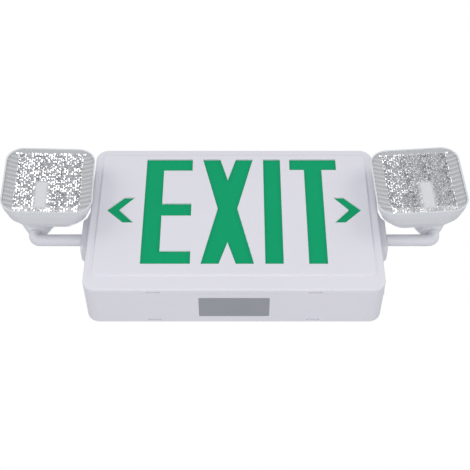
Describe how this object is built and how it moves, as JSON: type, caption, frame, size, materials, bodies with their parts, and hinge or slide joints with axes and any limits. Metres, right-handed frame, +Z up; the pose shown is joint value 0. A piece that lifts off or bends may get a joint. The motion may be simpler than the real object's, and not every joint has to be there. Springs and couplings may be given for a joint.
{
  "type": "emergency exit light",
  "caption": "Wall-fixed exit sign housing with a clipped front cover, battery and charger inside, and a square prismatic lamp head on a swivelling elbow arm at each side.",
  "frame": {"origin": "centre of the round wire hole in the back plate, on the wall face", "axes": "+X to the right as the sign is read, along the housing's width and the arms; +Y into the wall, so -Y is the side that is read; +Z up"},
  "size_m": [0.5125, 0.0918, 0.204],
  "materials": {
    "housing_plastic": "moulded, fine sheen, off-white",
    "shell_plastic": "moulded, fine sheen, off-white",
    "arm_metal": "painted tube, satin off-white",
    "legend_green": "translucent coloured sheet",
    "diffuser_white": "translucent opal sheet",
    "clear_cover": "clear prismatic cover",
    "reflector_bright": "bright vacuum-coated tray",
    "circuit_board": "glass-fibre board",
    "light_board": "white-faced board",
    "emitter": "encapsulated emitters",
    "dark_moulding": "moulded component bodies",
    "core_steel": "laminated core and winding",
    "battery_sleeve": "shrink sleeve",
    "zinc_steel": "zinc-plated",
    "terminal_grey": "moulded terminal body",
    "button_red": "moulded cap",
    "indicator_lens": "tinted indicator"
  },
  "bodies": {
    "housing": {"housing_frame": "housing_plastic", "front_cover": "housing_plastic", "back_plate": "housing_plastic", "legend_filter": "legend_green", "light_diffuser": "diffuser_white", "led_bar_upper": "light_board", "led_bar_lower": "light_board", "charger_board": "circuit_board", "transformer": "core_steel", "board_components": "dark_moulding", "terminal_block": "terminal_grey", "board_screws": "zinc_steel", "battery_pack": "battery_sleeve", "battery_strap": "zinc_steel", "strap_screws": "zinc_steel", "test_switch": "dark_moulding", "status_led": "indicator_lens"},
    "arm_left": {"arm_left": "arm_metal", "arm_washer_left": "zinc_steel", "arm_nut_left": "zinc_steel", "swivel_washer_left": "zinc_steel", "swivel_nut_left": "zinc_steel"},
    "arm_right": {"arm_right": "arm_metal", "arm_washer_right": "zinc_steel", "arm_nut_right": "zinc_steel", "swivel_washer_right": "zinc_steel", "swivel_nut_right": "zinc_steel"},
    "head_left": {"head_shell_left": "shell_plastic", "reflector_left": "reflector_bright", "lens_left": "clear_cover", "lamp_board_left": "light_board", "lamp_leds_left": "emitter"},
    "head_right": {"head_shell_right": "shell_plastic", "reflector_right": "reflector_bright", "lens_right": "clear_cover", "lamp_board_right": "light_board", "lamp_leds_right": "emitter"},
    "test_button": {"test_button": "button_red"}
  },
  "joints": [
    {"name": "arm_tilt_left", "type": "hinge", "parent": "housing", "child": "arm_left", "pos_m": [-0.161, -0.03, -0.012], "axis": [1, 0, 0], "range_deg": [0, 35]},
    {"name": "arm_tilt_right", "type": "hinge", "parent": "housing", "child": "arm_right", "pos_m": [0.161, -0.03, -0.012], "axis": [1, 0, 0], "range_deg": [0, 35]},
    {"name": "head_swivel_left", "type": "hinge", "parent": "arm_left", "child": "head_left", "pos_m": [-0.22562, -0.03, -0.002], "axis": [-0.0419, 0, 0.9991], "range_deg": [-75, 2]},
    {"name": "head_swivel_right", "type": "hinge", "parent": "arm_right", "child": "head_right", "pos_m": [0.22542, -0.03, -0.00153], "axis": [-0.0244, 0, 0.9997], "range_deg": [-1.5, 75]},
    {"name": "button_travel", "type": "slide", "parent": "housing", "child": "test_button", "axis": [1, 0, 0], "range_m": [-0.0015, 0], "stiffness_N_per_m": 800}
  ]
}
